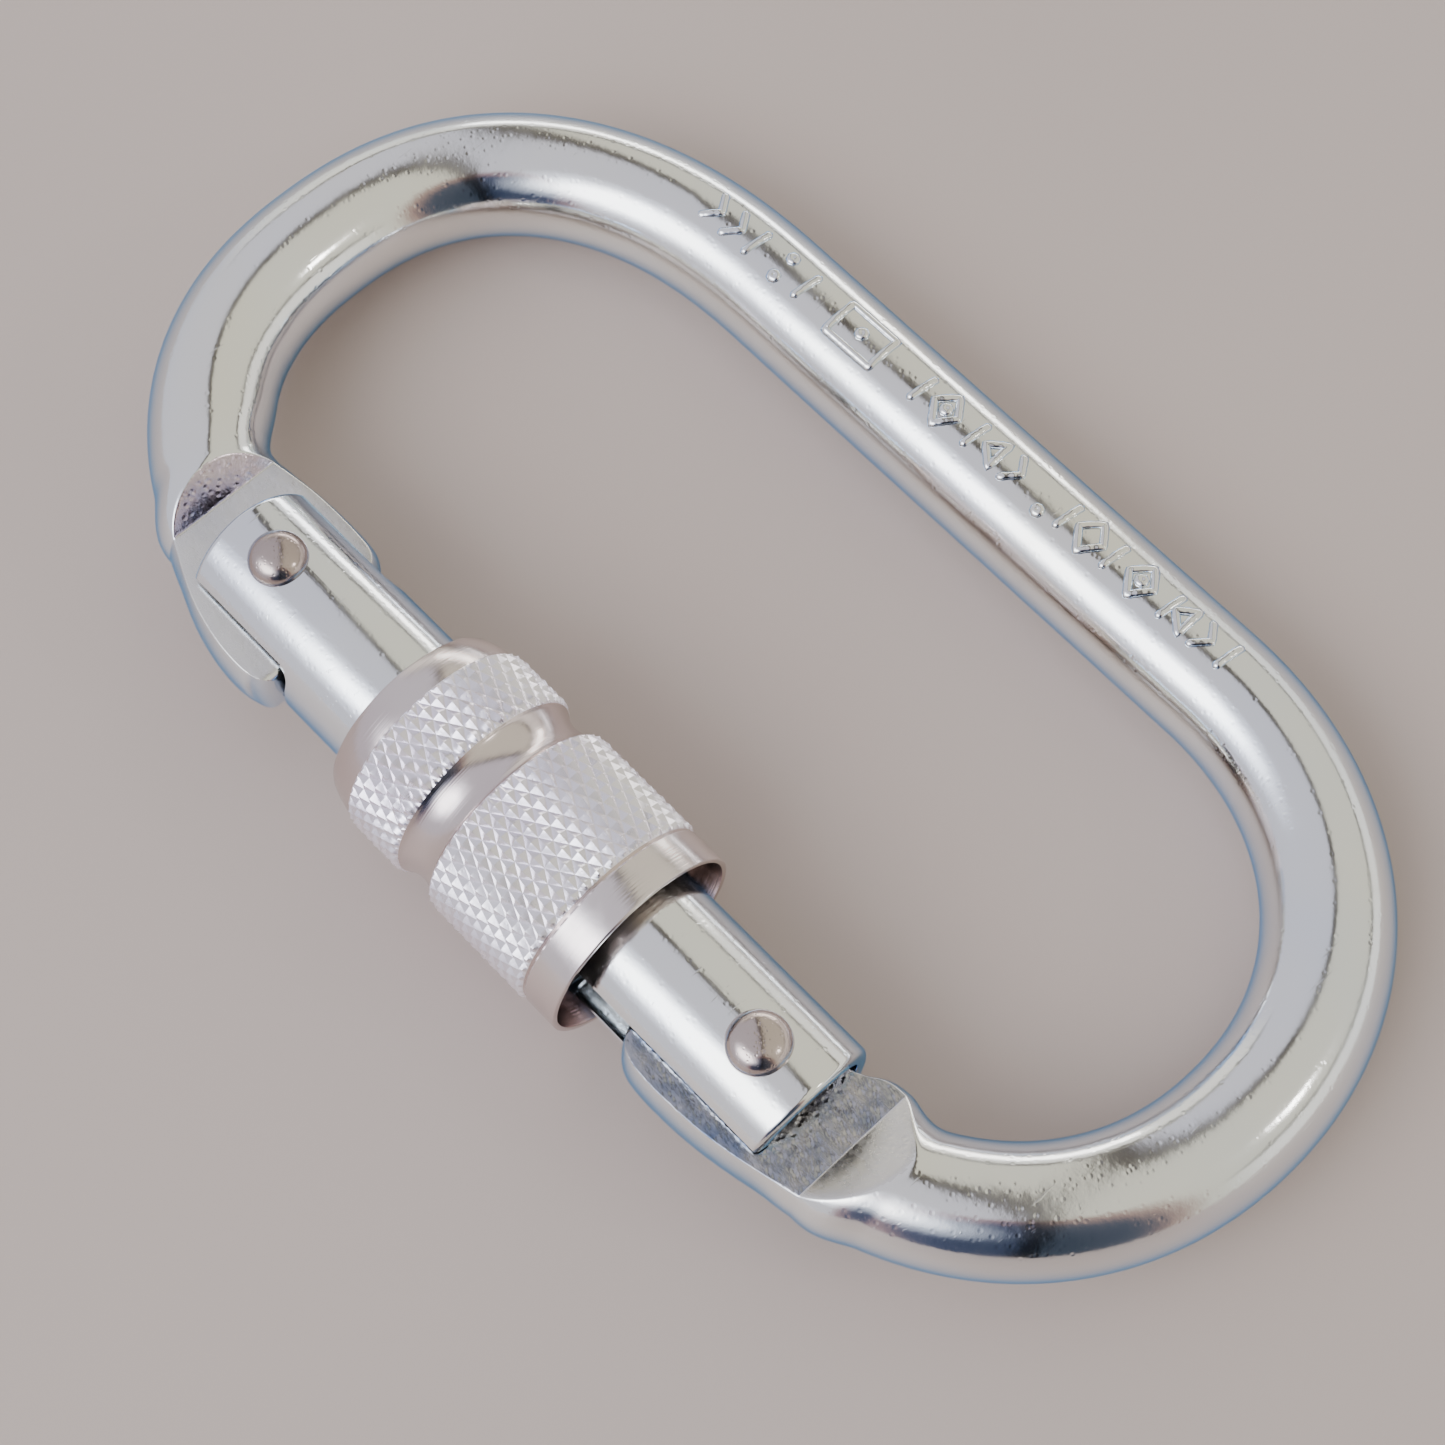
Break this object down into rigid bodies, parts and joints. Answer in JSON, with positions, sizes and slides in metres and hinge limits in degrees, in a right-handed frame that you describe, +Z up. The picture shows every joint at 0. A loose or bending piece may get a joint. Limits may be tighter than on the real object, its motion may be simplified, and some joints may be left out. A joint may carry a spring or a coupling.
{
  "type": "locking carabiner",
  "caption": "Oval steel snap link with a spring-closed gate and a knurled screw sleeve that runs over the latch to lock it.",
  "frame": {"origin": "middle of the overall size, on the mid-plane of the rod", "axes": "+X from the hinge end to the latch end, +Y from the gate to the spine, +Z up out of the oval when it lies flat"},
  "size_m": [0.111, 0.06, 0.0178],
  "materials": {
    "frame_zinc": "bright zinc plate over 10 mm steel rod",
    "gate_zinc": "bright zinc plate over rolled sheet steel",
    "rivet_nickel": "polished domed rivet heads, slightly darker and warmer than the plate",
    "sleeve_nickel": "white nickel plate, diamond knurled",
    "ring_rubber": "matt black",
    "inner_steel": "bare turned steel",
    "spring_steel": "bare drawn wire"
  },
  "bodies": {
    "frame_body": {"frame": "frame_zinc"},
    "gate_arm": {"gate": "gate_zinc", "hinge_rivet": "rivet_nickel", "latch_rivet": "rivet_nickel", "spring_seat": "inner_steel", "return_spring": "spring_steel"},
    "plunger": {"push_pin": "inner_steel"},
    "ring_carrier": {"friction_ring": "ring_rubber"},
    "sleeve_body": {"locking_sleeve": "sleeve_nickel"}
  },
  "joints": [
    {"name": "gate_hinge", "type": "hinge", "parent": "frame_body", "child": "gate_arm", "pos_m": [-0.028, -0.02138, 0], "axis": [0, 0, 1], "range_deg": [0, 28], "stiffness_Nm_per_rad": 0.3, "springref_deg": -34.38},
    {"name": "plunger_slide", "type": "slide", "parent": "gate_arm", "child": "plunger", "axis": [1, 0, 0], "range_m": [0, 0.0012], "deforming": ["return_spring"]},
    {"name": "sleeve_travel", "type": "slide", "parent": "gate_arm", "child": "ring_carrier", "axis": [1, 0, 0], "range_m": [0, 0.008]},
    {"name": "sleeve_turn", "type": "hinge", "parent": "ring_carrier", "child": "sleeve_body", "pos_m": [0, -0.02107, 0], "axis": [1, 0, 0], "range_deg": [0, 1440]}
  ],
  "couplings": [
    {"joint": "plunger_slide", "follows": "gate_hinge", "m_per_rad": 0.00242},
    {"joint": "sleeve_turn", "follows": "sleeve_travel", "rad_per_m": 3141.6}
  ]
}
